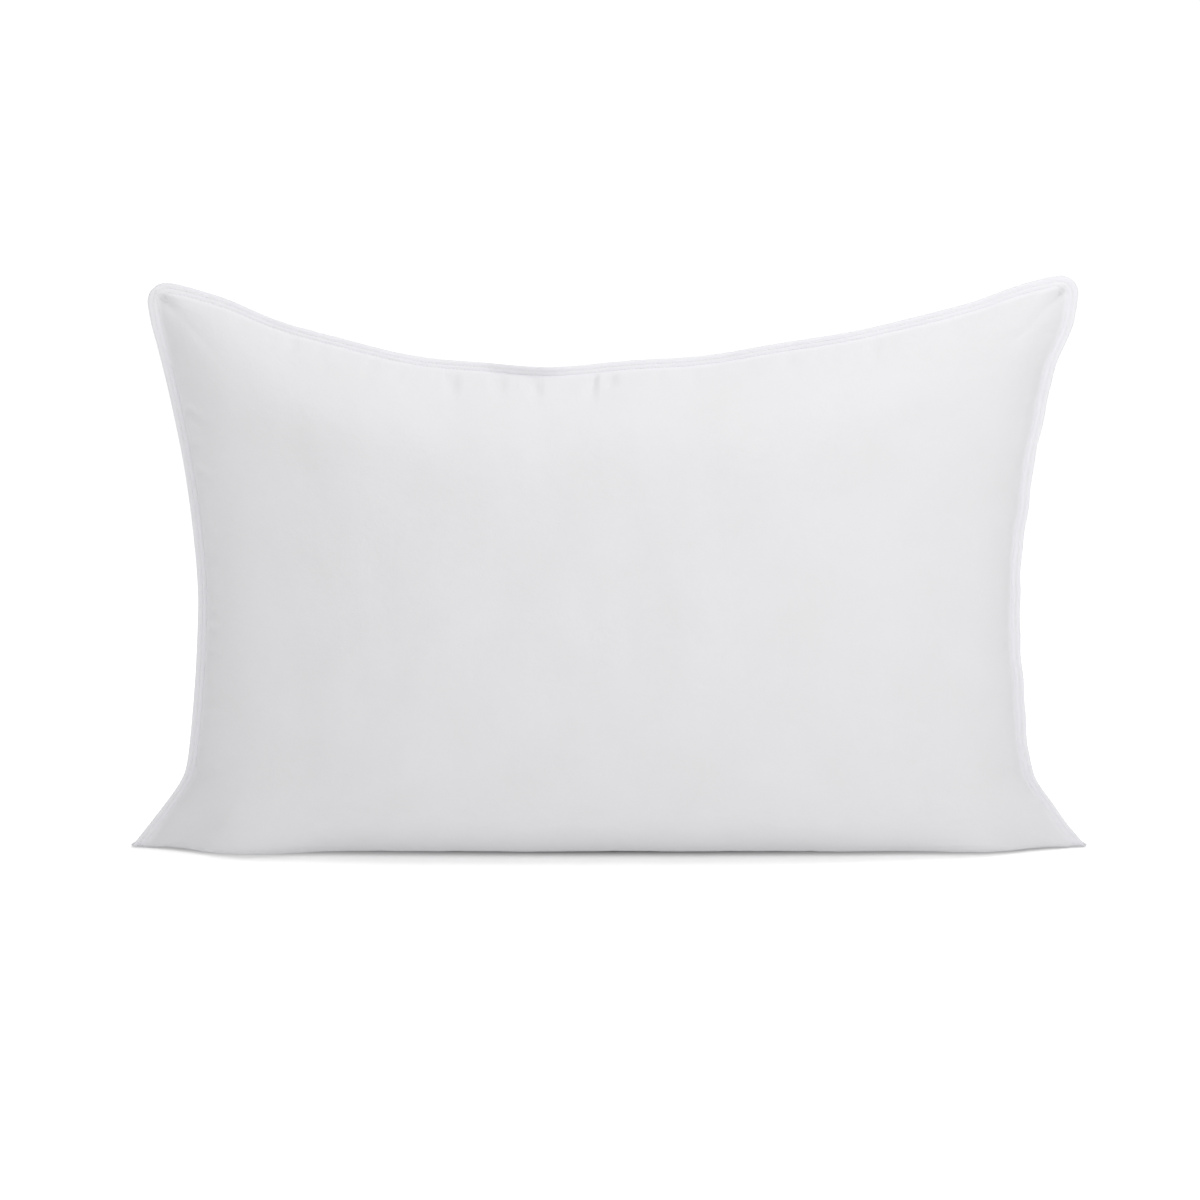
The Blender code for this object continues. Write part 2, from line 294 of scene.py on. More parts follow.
def smoothed(grid):
    """The thick fibre bridges the long creases of an air-filled bag, away from its seams."""
    calm = grid
    for direction in range(2):
        before = 2 * calm[:1] - calm[SMOOTH_REACH:0:-1]
        after = 2 * calm[-1:] - calm[-2:-SMOOTH_REACH - 2:-1]
        padded = np.concatenate([before, calm, after])
        blurred = np.zeros_like(calm)
        total = 0.0
        for shift in range(2 * SMOOTH_REACH + 1):
            weight = np.exp(-((shift - SMOOTH_REACH) * STEP / SMOOTH_WIDTH) ** 2 / 2)
            blurred += weight * padded[shift:shift + len(calm)]
            total += weight
        calm = (blurred / total).swapaxes(0, 1)
    rows, columns = grid.shape[:2]
    row_depth = np.minimum(np.arange(rows), np.arange(rows)[::-1])[:, None]
    column_depth = np.minimum(np.arange(columns), np.arange(columns)[::-1])[None, :]
    inside = np.clip(np.minimum(row_depth, column_depth) * STEP / SEAM_HOLD, 0.0, 1.0)[:, :, None]
    share = inside * inside * (3 - 2 * inside)
    return grid + (calm - grid) * share


def swell(place, most, middle, width):
    """A rounded rise to the most it comes to, at one place."""
    return most * np.exp(-((place - middle) / width) ** 2)


def packed_out(grid, face):
    """Fibre fills the shoulder under the top seam and the heel over the floor more than air."""
    across, height = grid[:, :, 0], grid[:, :, 2]
    share = height / height[-1:]
    side = np.abs(across) / np.where(across < 0, -across[:, :1], across[:, -1:])
    crease = (BACK_CREASE if face == BACK else 0.0) * np.clip(1 - share / 0.10, 0.0, 1.0)
    reach = np.maximum(face * grid[:, :, 1] - crease, 0.0)
    fuller = swell(share, *SHOULDER) + swell(share, *HEEL)
    fuller += swell(side, *FLANK) * np.clip(share / 0.2, 0.0, 1.0)
    spare = np.clip((1 - side) / 0.14, 0.0, 1.0) * np.clip(reach / 0.010, 0.0, 1.0)
    lobes = sum(swell(across, *lobe) for lobe in LOBES) * spare * swell(height, 1.0, 0.0, LOBE_HEIGHT)
    packed = grid.copy()
    packed[:, :, 1] += face * (reach * fuller + lobes)
    packed[:, :, 2] *= 1 - swell(height, *FLOOR_PRESS)
    return packed


bag_columns = round((CUT_WIDTH - 2 * FLANGE_WIDTH) / STEP)
bag_rows = round((CUT_HEIGHT - 2 * FLANGE_WIDTH) / STEP)
bag_mesh, bag_flat, bag_corners = make_cover_bag(bag_columns, bag_rows)
bag_places = settle_bag(bag_mesh, bag_flat)
bag_grids = {}
for face in (FRONT, BACK):
    grid = np.empty((bag_rows + 1, bag_columns + 1, 3))
    for row in range(bag_rows + 1):
        for column in range(bag_columns + 1):
            grid[row, column] = bag_places[bag_corners[face, row, column]]
    bag_grids[face] = packed_out(smoothed(grid), face)


# ---------------------------------------------------------------------------------------------
# The cover: two cuts of fine white cotton percale, one for each side. Each is one piece from
# its outer edge, across the flat flange that the topstitching holds, to the stuffed middle.
# Short folds run in from the seam, where the gathered cloth is pinched by the stitching.

CLOTH = 0.0003
OUTER_ROW = 0.0040
INNER_ROW = 0.0078
COTTON = (0.662, 0.660, 0.678, 1.0)
SHADED_COTTON = (0.648, 0.646, 0.656, 1.0)
# Painted light: the flange gets a lighter colour, standing in for light that shines through its thin
# cloth. The fade is how far that lighter colour reaches in from the crease.
PAINTED_FLANGE_LIGHT = (0.705, 0.702, 0.728, 1.0)
PAINTED_LIGHT_FADE = 0.0015
RIM_FADE = 0.003
RIM_PUSH_FADE = 0.010
LUMP_WAVES = 60
LUMP_HEIGHT = 0.0013
LUMP_FADE = 0.05
LAP_LIFT = 0.0030
LAP_END = 0.050
LAP_FADE = 0.020
LAP_ROWS = 14
LAP_TURNS = 16
PLY_RINGS = (
    (0.0090, 0.00078), (0.0084, 0.00060), (0.0078, 0.00046), (0.0071, 0.00058), (0.0060, 0.00070),
    (0.0048, 0.00060), (0.0040, 0.00046), (0.0032, 0.00060), (0.0020, 0.00070), (0.0008, 0.00060),
    (0.0002, 0.00042), (0.0, 0.00019),
)
LOOSE_FOLDS = 230
TOP_FOLD_WIDTH = 0.0038
TOP_FOLD_DEPTH = 1.35
TOP_FOLDS = (
    (-0.139, 8, 0.026, 0.0030), (-0.131, -6, 0.036, 0.0024), (-0.0975, 4, 0.018, 0.0034),
    (-0.090, -12, 0.034, 0.0024), (-0.0675, 6, 0.017, 0.0038), (-0.060, -10, 0.032, 0.0026),
    (-0.013, -8, 0.034, 0.0038), (-0.004, 14, 0.022, 0.0028), (0.004, -10, 0.016, 0.0030),
    (0.070, 10, 0.026, 0.0011), (0.150, 18, 0.030, 0.0012), (0.215, 24, 0.034, 0.0014),
    (-0.200, -18, 0.036, 0.0015), (-0.262, -26, 0.040, 0.0016),
)
SIDE_FOLD_WIDTH = 0.0038
SIDE_FOLDS = (
    (0.140, 8, 0.026, 0.0013), (0.196, -6, 0.030, 0.0016), (0.228, 10, 0.022, 0.0011),
    (0.300, -8, 0.026, 0.0011), (0.352, -16, 0.034, 0.0014), (0.404, -22, 0.038, 0.0016),
)
CORNER_FOLD_WIDTH = 0.0036
CORNER_FOLDS = ((-28, 0.052, 0.0016), (-44, 0.070, 0.0021), (-61, 0.046, 0.0015))


def finer(grid):
    """Twice as many places each way, on smooth curves through the ones there are."""
    for direction in range(2):
        before = 2 * grid[:1] - grid[1:2]
        after = 2 * grid[-1:] - grid[-2:-1]
        padded = np.concatenate([before, grid, after])
        whole = np.empty((2 * len(grid) - 1, *grid.shape[1:]))
        whole[::2] = grid
        whole[1::2] = (9 * (grid[:-1] + grid[1:]) - padded[:-3] - padded[3:]) / 16
        grid = whole.swapaxes(0, 1)
    return grid


def outward(grid, face):
    """The direction away from the fill at each place of a panel."""
    along = np.gradient(grid, axis=1)
    upward = np.gradient(grid, axis=0)
    normal = -face * np.cross(along, upward)
    return normal / np.maximum(np.linalg.norm(normal, axis=2, keepdims=True), 1e-9)


def seam_folds(face):
    """Small folds that run in from the crease: place, direction, length, half width, depth."""
    chance = np.random.default_rng(11 if face == FRONT else 23)
    wide = half_cut - FLANGE_WIDTH
    low = FLANGE_WIDTH
    high = CUT_HEIGHT - FLANGE_WIDTH
    folds = []
    for number in range(LOOSE_FOLDS):
        side = chance.integers(0, 4)
        share = chance.uniform(0.02, 0.98)
        if side == 0:
            start = (wide * (2 * share - 1), high)
            aim = -90
        elif side == 1:
            start = (wide * (2 * share - 1), low)
            aim = 90
        elif side == 2:
            start = (-wide, low + (high - low) * share)
            aim = 0
        else:
            start = (wide, low + (high - low) * share)
            aim = 180
        aim += chance.normal(0, 16)
        length = chance.uniform(0.010, 0.034)
        width = chance.uniform(0.0022, 0.0050)
        folds.append((*start, aim, length, width, chance.uniform(0.0003, 0.0011)))
    for across, lean, length, depth in TOP_FOLDS:
        folds.append((across, high, -90 + lean, length, TOP_FOLD_WIDTH, TOP_FOLD_DEPTH * depth))
    for side in (-1, 1):
        toward = 0 if side < 0 else 180
        for up, lean, length, depth in SIDE_FOLDS:
            folds.append((side * wide, up, toward - side * lean, length, SIDE_FOLD_WIDTH, depth))
        for aim, length, depth in CORNER_FOLDS:
            turned = aim if side < 0 else 180 - aim
            corner = (side * (wide - 0.002), high - 0.002)
            folds.append((*corner, turned, length, CORNER_FOLD_WIDTH, depth))
    return folds


def fold_depth(flat, folds):
    """How far the small folds sink into the cloth at each place of the flat cut."""
    depth = np.zeros(flat.shape[:2])
    for across, up, aim, length, width, deepest in folds:
        direction = (cos(radians(aim)), sin(radians(aim)))
        off_x = flat[:, :, 0] - across
        off_y = flat[:, :, 1] - up
        along = off_x * direction[0] + off_y * direction[1]
        beside = off_x * direction[1] - off_y * direction[0]
        share = np.clip(1 - np.abs(along) / length, 0.0, 1.0) ** 1.4
        spread = (beside / (width * (1 + 1.5 * np.clip(along, 0.0, None) / length))) ** 2
        depth += deepest * share * (1 - 0.8 * spread) * np.exp(-spread)
    return depth


def lumps(flat, face):
    """Soft unevenness of the fibre under the cloth."""
    chance = np.random.default_rng(5 if face == FRONT else 8)
    height = np.zeros(flat.shape[:2])
    for number in range(LUMP_WAVES):
        wave = chance.uniform(0.030, 0.130)
        heading = chance.uniform(0, 2 * pi)
        phase = chance.uniform(0, 2 * pi)
        place = flat[:, :, 0] * cos(heading) + flat[:, :, 1] * sin(heading)
        height += wave * np.sin(2 * pi * place / wave + phase)
    return height * LUMP_HEIGHT


def rim_walk(rows, columns):
    """The grid corners round the rim, from lower left to the right, up, back and down."""
    walk = [(0, column) for column in range(columns)]
    walk += [(row, columns) for row in range(rows)]
    walk += [(rows, column) for column in range(columns, 0, -1)]
    walk += [(row, 0) for row in range(rows, 0, -1)]
    return walk


def flange_rings(outline, face):
    """The turned-in flange as rings from the crease out to the edge, in the cut and in place."""
    ahead = np.roll(outline, -1, axis=0) - np.roll(outline, 1, axis=0)
    away = np.stack([ahead[:, 1], -ahead[:, 0]], axis=1)
    away /= np.linalg.norm(away, axis=1, keepdims=True)
    cuts = [outline + away * (FLANGE_WIDTH - inset) for inset, lift in PLY_RINGS]
    rings = []
    for cut, (inset, lift) in zip(cuts, PLY_RINGS):
        rings.append(np.array([seam_place(across, up, face * lift) for across, up in cut]))
    return cuts, rings


def moved_to_rim(grid, flat, walk, ring):
    """The panel with its rim laid on the flange's first ring, and the cloth nearby following."""
    rows, columns = grid.shape[0] - 1, grid.shape[1] - 1
    crease = np.array([seam_place(*flat[spot]) for spot in walk])
    shift = {spot: ring[index] - crease[index] for index, spot in enumerate(walk)}
    low = np.array([[shift[0, c] for c in range(columns + 1)]])
    high = np.array([[shift[rows, c] for c in range(columns + 1)]])
    left = np.array([[shift[r, 0]] for r in range(rows + 1)])
    right = np.array([[shift[r, columns]] for r in range(rows + 1)])
    push = np.zeros_like(grid)
    weight = np.zeros(grid.shape[:2])
    for depth, moves in (
        (flat[:, :, 1] - FLANGE_WIDTH, low),
        (CUT_HEIGHT - FLANGE_WIDTH - flat[:, :, 1], high),
        (flat[:, :, 0] + half_cut - FLANGE_WIDTH, left),
        (half_cut - FLANGE_WIDTH - flat[:, :, 0], right),
    ):
        hold = np.exp(-depth / RIM_PUSH_FADE)
        push += hold[:, :, None] * moves
        weight += hold
    grid = grid + push / np.maximum(weight, 1.0)[:, :, None]
    for index, spot in enumerate(walk):
        grid[spot] = ring[index]
    return grid


def laid_on_floor(grid, face):
    """The panel kept above the floor, and at the back laid smoothly over the folded flange."""
    grid[:, :, 2] = np.maximum(grid[:, :, 2], CLOTH)
    if face == BACK:
        lap = np.clip((LAP_END - grid[1:, :, 1]) / LAP_FADE, 0.0, 1.0)
        grid[1:, :, 2] = np.maximum(grid[1:, :, 2], CLOTH + LAP_LIFT * lap)
        ease = np.clip(1.5 - np.arange(1, len(grid) - 1) / LAP_ROWS, 0.0, 1.0)[:, None, None]
        for turn in range(LAP_TURNS):
            middle = (grid[:-2] + 2 * grid[1:-1] + grid[2:]) / 4
            grid[1:-1] += (middle - grid[1:-1]) * ease
    return grid


def lay_out(mesh, name, places):
    """Give each corner of a mesh its place in the flat."""
    layer = mesh.uv_layers.new(name=name)
    for loop in mesh.loops:
        layer.data[loop.index].uv = places[loop.vertex_index]


def thicken(sheet, thickness):
    """Give a sheet the thickness of its cloth, half to each side."""
    wall = sheet.modifiers.new("cloth", "SOLIDIFY")
    wall.thickness = thickness
    wall.offset = 0.0


def make_cover(name, face):
    """One cut of cover cloth, with its flange, as a thin sheet. Also the grid of its middle."""
    grid = finer(bag_grids[face])
    rows, columns = grid.shape[0] - 1, grid.shape[1] - 1
    flat = np.array([
        [panel_place(column, row, columns, rows) for column in range(columns + 1)]
        for row in range(rows + 1)
    ])
    near_side = half_cut - FLANGE_WIDTH - np.abs(flat[:, :, 0])
    near_end = CUT_HEIGHT / 2 - FLANGE_WIDTH - np.abs(flat[:, :, 1] - CUT_HEIGHT / 2)
    near_rim = np.minimum(near_side, near_end)
    rise = lumps(flat, face) * (1 - np.exp(-near_rim / LUMP_FADE))
    rise -= fold_depth(flat, seam_folds(face)) * (1 - np.exp(-near_rim / RIM_FADE))
    grid = grid + outward(grid, face) * rise[:, :, None]

    walk = rim_walk(rows, columns)
    cuts, rings = flange_rings(np.array([flat[spot] for spot in walk]), face)
    grid = laid_on_floor(moved_to_rim(grid, flat, walk, rings[0]), face)

    spots = [tuple(place) for line in grid for place in line]
    cut = [tuple(place) for line in flat for place in line]
    quads = []
    for row in range(rows):
        for column in range(columns):
            here = row * (columns + 1) + column
            quads.append((here, here + 1, here + columns + 2, here + columns + 1))
    inner = [row * (columns + 1) + column for row, column in walk]
    for ring, ring_cut in zip(rings[1:], cuts[1:]):
        outer = list(range(len(spots), len(spots) + len(walk)))
        spots += [tuple(place) for place in ring]
        cut += [tuple(place) for place in ring_cut]
        for here in range(len(walk)):
            after = (here + 1) % len(walk)
            quads.append((inner[here], outer[here], outer[after], inner[after]))
        inner = outer
    if face == BACK:
        quads = [quad[::-1] for quad in quads]
    mesh = bpy.data.meshes.new(name)
    mesh.from_pydata(spots, [], quads)
    lay_out(mesh, "cut", cut)
    # Painted light: a share that is full over the flange and fades in from the crease. There the colour
    # is made lighter to stand in for light shining through the thin flange.
    painted_flange_share = mesh.attributes.new("painted_flange_share", "FLOAT", "POINT")
    for index, (across, up) in enumerate(cut):
        inset = min(half_cut - abs(across), up, CUT_HEIGHT - up)
        share = (FLANGE_WIDTH + PAINTED_LIGHT_FADE - inset) / PAINTED_LIGHT_FADE
        painted_flange_share.data[index].value = max(0.0, min(1.0, share))
    mesh.shade_smooth()
    cover = placed(mesh)
    thicken(cover, CLOTH)
    return cover, grid


def new_material(name, **values):
    """A material with the plain values of its shader, which comes back with its node tree."""
    material = bpy.data.materials.new(name)
    material.use_nodes = True
    shader = material.node_tree.nodes["Principled BSDF"]
    for socket, value in values.items():
        shader.inputs[socket.replace("_", " ")].default_value = value
    return material, material.node_tree, shader


def add_node(tree, kind, **values):
    """A node with the values of its sockets."""
    node = tree.nodes.new("ShaderNode" + kind)
    for socket, value in values.items():
        node.inputs[socket.replace("_", " ")].default_value = value
    return node


def cotton_percale():
    """Fine plain weave, slightly uneven in its yarns, with a soft dry nap."""
    material, tree, shader = new_material(
        "cotton_percale", Roughness=0.92, Sheen_Weight=0.12, Sheen_Roughness=0.5)
    links = tree.links
    place = add_node(tree, "UVMap")
    place.uv_map = "cut"

    cloud = add_node(tree, "TexNoise", Scale=14.0, Detail=5.0)
    links.new(place.outputs["UV"], cloud.inputs["Vector"])
    shade = add_node(tree, "MapRange", From_Min=0.3, From_Max=0.7, To_Min=0.0, To_Max=1.0)
    links.new(cloud.outputs["Fac"], shade.inputs["Value"])
    tone = add_node(tree, "Mix")
    tone.data_type = "RGBA"
    tone.inputs["A"].default_value = SHADED_COTTON
    tone.inputs["B"].default_value = COTTON
    links.new(shade.outputs["Result"], tone.inputs["Factor"])
    # Painted light: the flange is mixed towards a lighter colour, standing in for light shining through
    # its thin cloth.
    painted_light_attribute = add_node(tree, "Attribute")
    painted_light_attribute.attribute_name = "painted_flange_share"
    plies = add_node(tree, "Mix")
    plies.data_type = "RGBA"
    plies.inputs["B"].default_value = PAINTED_FLANGE_LIGHT
    links.new(painted_light_attribute.outputs["Fac"], plies.inputs["Factor"])
    links.new(tone.outputs["Result"], plies.inputs["A"])
    links.new(plies.outputs["Result"], shader.inputs["Base Color"])

    both = add_node(tree, "Math")
    both.operation = "ADD"
    for number, stretch in enumerate(((1.0, 9.0, 1.0), (9.0, 1.0, 1.0))):
        yarn = add_node(tree, "Mapping", Scale=stretch)
        slub = add_node(tree, "TexNoise", Scale=230.0, Detail=3.0)
        links.new(place.outputs["UV"], yarn.inputs["Vector"])
        links.new(yarn.outputs["Vector"], slub.inputs["Vector"])
        links.new(slub.outputs["Fac"], both.inputs[number])
    grain = add_node(tree, "Bump", Strength=0.30, Distance=0.0004)
    links.new(both.outputs["Value"], grain.inputs["Height"])

    crumple = add_node(tree, "TexNoise", Scale=48.0, Detail=4.0, Roughness=0.55)
    links.new(place.outputs["UV"], crumple.inputs["Vector"])
    soft = add_node(tree, "Bump", Strength=0.22, Distance=0.003)
    links.new(crumple.outputs["Fac"], soft.inputs["Height"])
    links.new(grain.outputs["Normal"], soft.inputs["Normal"])
    links.new(soft.outputs["Normal"], shader.inputs["Normal"])
    return material


cotton = cotton_percale()
panel_grids = {}
for name, face in (("front_cover", FRONT), ("back_cover", BACK)):
    cover, panel_grids[face] = make_cover(name, face)
    cover.data.materials.append(cotton)
    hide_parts("front_panel" if face == FRONT else "back_panel")
    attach(cover, "pillow")


# ---------------------------------------------------------------------------------------------
# The fibre fill: one fluffy mass of crimped polyester that takes the shape of its cover and
# stops a little short of the seam all round.

FILL_INSET = 0.0045
FILL_RIM = 2
FILL_FLOOR = 0.0052
THIN_SHARE = 0.42
FIBRE = (0.80, 0.80, 0.79, 1.0)


def make_fill():
    """Both sides of the fill, a little inside the panels, joined into one closed mass."""
    inside = slice(FILL_RIM, -FILL_RIM)
    front = panel_grids[FRONT][::2, ::2][inside, inside]
    through = panel_grids[BACK][::2, ::2][inside, inside] - front
    depth = np.linalg.norm(through, axis=2, keepdims=True)
    share = np.minimum(FILL_INSET / depth, THIN_SHARE)
    lowest = FILL_FLOOR * np.clip(depth[:, :, 0] / 0.012 - 1, 0.0, 1.0)
    halves = {FRONT: front + through * share, BACK: front + through * (1 - share)}
    for half in halves.values():
        half[:, :, 2] = np.maximum(half[:, :, 2], lowest)
    rows, columns = halves[FRONT].shape[0] - 1, halves[FRONT].shape[1] - 1
    spots = [tuple(place) for face in (FRONT, BACK) for line in halves[face] for place in line]
    behind = (rows + 1) * (columns + 1)
    quads = []
    for r in range(rows):
        for c in range(columns):
            here = r * (columns + 1) + c
            quad = (here, here + 1, here + columns + 2, here + columns + 1)
            quads.append(quad)
            quads.append(tuple(spot + behind for spot in quad[::-1]))
    walk = [r * (columns + 1) + c for r, c in rim_walk(rows, columns)]
    for here, after in zip(walk, walk[1:] + walk[:1]):
        quads.append((here, here + behind, after + behind, after))
    mesh = bpy.data.meshes.new("fill")
    mesh.from_pydata(spots, [], quads)
    mesh.shade_smooth()
    return placed(mesh)


def crimped_fibre():
    """Matt white fibre, matted into soft tufts."""
    material, tree, shader = new_material(
        "crimped_fibre", Base_Color=FIBRE, Roughness=1.0, Sheen_Weight=0.3)
    place = add_node(tree, "TexCoord")
    tuft = add_node(tree, "TexNoise", Scale=90.0, Detail=8.0, Roughness=0.75, Distortion=1.5)
    tree.links.new(place.outputs["Object"], tuft.inputs["Vector"])
    bump = add_node(tree, "Bump", Strength=0.8, Distance=0.004)
    tree.links.new(tuft.outputs["Fac"], bump.inputs["Height"])
    tree.links.new(bump.outputs["Normal"], shader.inputs["Normal"])
    return material


fill = make_fill()
fill.data.materials.append(crimped_fibre())
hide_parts("fibre_fill")
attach(fill, "pillow")


# ---------------------------------------------------------------------------------------------
# The topstitching: two rows of lockstitch all round the flange, seen on both sides. Each
# stitch is a short bead of twisted polyester thread that dips into the cloth at its ends.

STITCH_PITCH = 0.0032
STITCH_LENGTH = 0.0027
CORNER_STEPS = 12
THREAD_RADIUS = 0.00021
THREAD_COLOUR = (0.700, 0.700, 0.715, 1.0)
BEAD_SIDES = 6
BEAD_STEPS = ((-1.0, 0.45, -0.5), (-0.8, 0.85, 0.0), (-0.3, 1.0, 0.5), (0.3, 1.0, 0.5),
              (0.8, 0.85, 0.0), (1.0, 0.45, -0.5))


def cut_outline(inset):
    """The flat cut's outline at one distance in from its edge, and the length run so far."""
    radius = CORNER_RADIUS - inset
    turn_x = half_cut - CORNER_RADIUS
    turn_y = CUT_HEIGHT / 2 - CORNER_RADIUS
    places = []
    for corner, (side, end) in enumerate(((1, -1), (1, 1), (-1, 1), (-1, -1))):
        for step in range(CORNER_STEPS + 1):
            angle = radians(90 * (corner - 1 + step / CORNER_STEPS))
            across = side * turn_x + radius * cos(angle)
            places.append((across, CUT_HEIGHT / 2 + end * turn_y + radius * sin(angle)))
    places.append(places[0])
    places = np.array(places)
    run = np.concatenate([[0.0], np.cumsum(np.linalg.norm(np.diff(places, axis=0), axis=1))])
    return places, run


def stitch_beads(name, ends):
    """Beads of thread between pairs of points, each with its own way out of the cloth."""
    spots = []
    quads = []
    turns = []
    for start, finish, out in ends:
        middle = (start + finish) / 2
        along = (finish - start) / 2
        beside = along.cross(out).normalized()
        first = len(spots)
        for place, size, rise in BEAD_STEPS:
            centre = middle + along * place + out * (rise * THREAD_RADIUS)
            for side in range(BEAD_SIDES):
                angle = 2 * pi * side / BEAD_SIDES
                round_it = beside * cos(angle) + out * sin(angle)
                spots.append(centre + round_it * (size * THREAD_RADIUS))
                turns.append((place, side / BEAD_SIDES))
        for step in range(len(BEAD_STEPS) - 1):
            for side in range(BEAD_SIDES):
                here = first + step * BEAD_SIDES + side
                after = first + step * BEAD_SIDES + (side + 1) % BEAD_SIDES
                quads.append((here, after, after + BEAD_SIDES, here + BEAD_SIDES))
        quads.append(tuple(first + side for side in reversed(range(BEAD_SIDES))))
        last = first + (len(BEAD_STEPS) - 1) * BEAD_SIDES
        quads.append(tuple(last + side for side in range(BEAD_SIDES)))
    mesh = bpy.data.meshes.new(name)
    mesh.from_pydata(spots, [], quads)
    lay_out(mesh, "strand", turns)
    mesh.shade_smooth()
    return placed(mesh)


def stitch_row(name, inset, offset, out_side, span=None):
    """Stitches along a row of the flange: all round, or over one span of the lower edge."""
    places, run = cut_outline(inset)
    length = run[-1]
    count = round(length / STITCH_PITCH)
    if span is None:
        starts = [length * (number + 0.5) / count for number in range(count)]
    else:
        count = round(span / STITCH_PITCH)
        middle = length - (half_cut - CORNER_RADIUS)
        starts = [middle + span * ((number + 0.5) / count - 0.5) for number in range(count)]
    ends = []
    for centre in starts:
        pair = []
        for reach in (centre - STITCH_LENGTH / 2, centre + STITCH_LENGTH / 2):
            across = np.interp(reach, run, places[:, 0])
            up = np.interp(reach, run, places[:, 1])
            pair.append(seam_place(across, up, offset))
        outer = seam_place(across, up, offset + out_side * 0.0005)
        ends.append((*pair, (outer - pair[1]).normalized()))
    return stitch_beads(name, ends)


def twisted_thread():
    """Three plies of spun polyester, wound round each other."""
    material, tree, shader = new_material(
        "twisted_thread", Base_Color=THREAD_COLOUR, Roughness=0.55, Sheen_Weight=0.2)
    place = add_node(tree, "UVMap")
    place.uv_map = "strand"
    slant = add_node(tree, "Mapping", Rotation=(0.0, 0.0, radians(38.0)))
    tree.links.new(place.outputs["UV"], slant.inputs["Vector"])
    ply = add_node(tree, "TexWave", Scale=1.2, Distortion=0.4)
    tree.links.new(slant.outputs["Vector"], ply.inputs["Vector"])
    bump = add_node(tree, "Bump", Strength=0.6, Distance=0.0001)
    tree.links.new(ply.outputs["Fac"], bump.inputs["Height"])
    tree.links.new(bump.outputs["Normal"], shader.inputs["Normal"])
    return material


thread = twisted_thread()
ply_lift = dict(PLY_RINGS)
row_lift = ply_lift[OUTER_ROW] + CLOTH / 2
for name, inset in (("outer_topstitch", OUTER_ROW), ("inner_topstitch", INNER_ROW)):
    for word, face in (("front", FRONT), ("back", BACK)):
        row = stitch_row(f"{name}_row_{word}", inset, face * row_lift, face)
        row.data.materials.append(thread)
        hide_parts(f"{name}_{word}")
        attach(row, "pillow")


# ---------------------------------------------------------------------------------------------
# The edge seam: the thread that joins the two cuts. The cover is turned right side out after
# it is sewn, so that only its stitches show, between the two plies at the very edge.

EDGE_REACH = 0.00015

edge_row = stitch_row("edge_seam", -EDGE_REACH, 0.0, BACK)
edge_row.data.materials.append(thread)
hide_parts("edge_seam_thread")
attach(edge_row, "pillow")


# ---------------------------------------------------------------------------------------------
# The closing stitches: a short row near the middle of the lower edge, where the mouth that the
# fill went in by was sewn shut. It lies folded under the pillow.

CLOSING_ROW = 0.0020
CLOSING_LENGTH = 0.160

closing_lift = ply_lift[CLOSING_ROW] + CLOTH / 2
for word, face in (("front", FRONT), ("back", BACK)):
    row = stitch_row(f"closing_row_{word}", CLOSING_ROW, face * closing_lift, face, CLOSING_LENGTH)
    row.data.materials.append(thread)
    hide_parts(f"closing_stitch_{word}")
    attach(row, "pillow")


# ---------------------------------------------------------------------------------------------
# The care label: a small blank strip of white satin ribbon, caught in the top seam at the back
# and hanging down the back panel. Its lower end curls a little away from the cover.

LABEL_WIDTH = 0.038
LABEL_LENGTH = 0.060
LABEL_THICKNESS = 0.00022
LABEL_STEP = 0.002
LABEL_GAP = 0.0011
LABEL_CURL = 0.0030
EDGE_CURL = 0.0012
SATIN = (0.67, 0.67, 0.68, 1.0)


def back_surface(across, up):
    """A place on the back cover, from the nearest corners of its grid."""
    grid = panel_grids[BACK]
    rows, columns = grid.shape[0] - 1, grid.shape[1] - 1
    column = (across / (half_cut - FLANGE_WIDTH) + 1) / 2 * columns
    row = (up - FLANGE_WIDTH) / (CUT_HEIGHT - 2 * FLANGE_WIDTH) * rows
    c = int(min(max(column, 0), columns - 1))
    r = int(min(max(row, 0), rows - 1))
    s, t = column - c, row - r
    low = grid[r, c] * (1 - s) + grid[r, c + 1] * s
    high = grid[r + 1, c] * (1 - s) + grid[r + 1, c + 1] * s
    return Vector(low * (1 - t) + high * t)


def make_label():
    """The strip, following the back panel at a small distance, then curling away at its end."""
    middle = SAG_PLACE * half_cut
    columns = round(LABEL_WIDTH / LABEL_STEP)
    rows = round(LABEL_LENGTH / LABEL_STEP)
    top = CUT_HEIGHT - FLANGE_WIDTH
    trail = np.linspace(top, top - LABEL_LENGTH, 4 * rows + 1)
    path = np.array([back_surface(middle, up) for up in trail])
    gone = np.concatenate([[0.0], np.cumsum(np.linalg.norm(np.diff(path, axis=0), axis=1))])
    spots = []
    cut = []
    for row in range(rows + 1):
        run = LABEL_LENGTH * row / rows
        level = np.interp(run, gone, trail)
        centre = back_surface(middle, level)
        below = back_surface(middle, level - 0.004)
        slope = (below - centre).normalized()
        out = Vector((0.0, -slope.z, slope.y)).normalized()
        for column in range(columns + 1):
            across = LABEL_WIDTH * (column / columns - 0.5)
            place = back_surface(middle + across, level)
            curl = LABEL_GAP + LABEL_CURL * (run / LABEL_LENGTH) ** 3
            curl += EDGE_CURL * (abs(across) / LABEL_WIDTH * 2) ** 3 * (run / LABEL_LENGTH)
            curl += 0.0004 * sin(150 * across + 60 * run)
            spots.append(place + out * curl)
            cut.append((across, -run))
    quads = []
    for row in range(rows):
        for column in range(columns):
            here = row * (columns + 1) + column
            quads.append((here, here + 1, here + columns + 2, here + columns + 1))
    mesh = bpy.data.meshes.new("label")
    mesh.from_pydata(spots, [], quads)
    lay_out(mesh, "cut", cut)
    mesh.shade_smooth()
    strip = placed(mesh)
    thicken(strip, LABEL_THICKNESS)
    return strip


